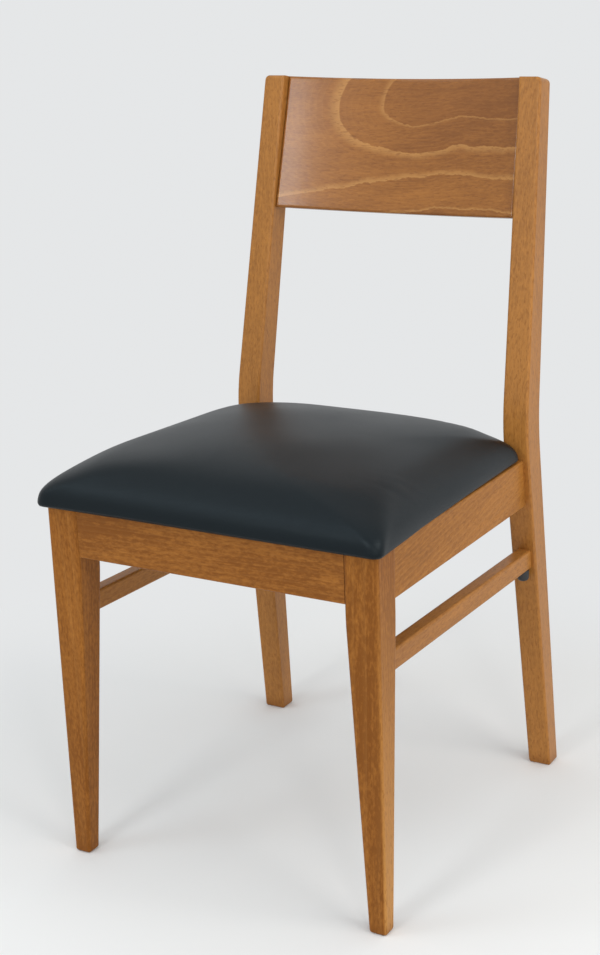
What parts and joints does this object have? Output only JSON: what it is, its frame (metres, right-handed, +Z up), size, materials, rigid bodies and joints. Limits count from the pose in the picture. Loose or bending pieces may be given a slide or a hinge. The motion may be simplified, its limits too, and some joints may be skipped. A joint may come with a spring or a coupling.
{
  "type": "restaurant chair",
  "caption": "Wooden restaurant chair with tapered front legs, bent back legs, a curved backrest panel, side stretchers and a crowned black vinyl seat pad.",
  "frame": {"origin": "on the floor, in the middle of the chair's box", "axes": "+Z up, the sitter faces -Y, +X is to the right seen from the front"},
  "size_m": [0.4238, 0.516, 0.8495],
  "materials": {
    "stained_beech": "satin lacquer",
    "beech_panel": "satin lacquer",
    "plain_beech": "raw",
    "plywood": "raw",
    "foam": "open cell",
    "black_vinyl": "satin grained vinyl",
    "dust_cloth": "non-woven",
    "zinc_steel": "zinc plated",
    "black_plastic": "matt"
  },
  "bodies": {
    "root": {"front_leg_left": "stained_beech", "front_leg_right": "stained_beech", "back_leg_left": "stained_beech", "back_leg_right": "stained_beech", "front_rail": "stained_beech", "back_rail": "stained_beech", "side_rail_left": "stained_beech", "side_rail_right": "stained_beech", "side_stretcher_left": "stained_beech", "side_stretcher_right": "stained_beech", "backrest_panel": "beech_panel", "corner_block_front_left": "plain_beech", "corner_block_front_right": "plain_beech", "corner_block_back_left": "plain_beech", "corner_block_back_right": "plain_beech", "front_rail_dowels": "plain_beech", "side_rail_dowels": "plain_beech", "back_rail_dowels": "plain_beech", "stretcher_dowels": "plain_beech", "backrest_dowels": "plain_beech", "seat_board": "plywood", "seat_foam": "foam", "seat_cover": "black_vinyl", "dust_cover": "dust_cloth", "cover_staples": "zinc_steel", "corner_block_screws": "zinc_steel", "seat_fixing_screws": "zinc_steel", "stacking_button_left": "black_plastic", "stacking_button_right": "black_plastic"}
  },
  "joints": []
}
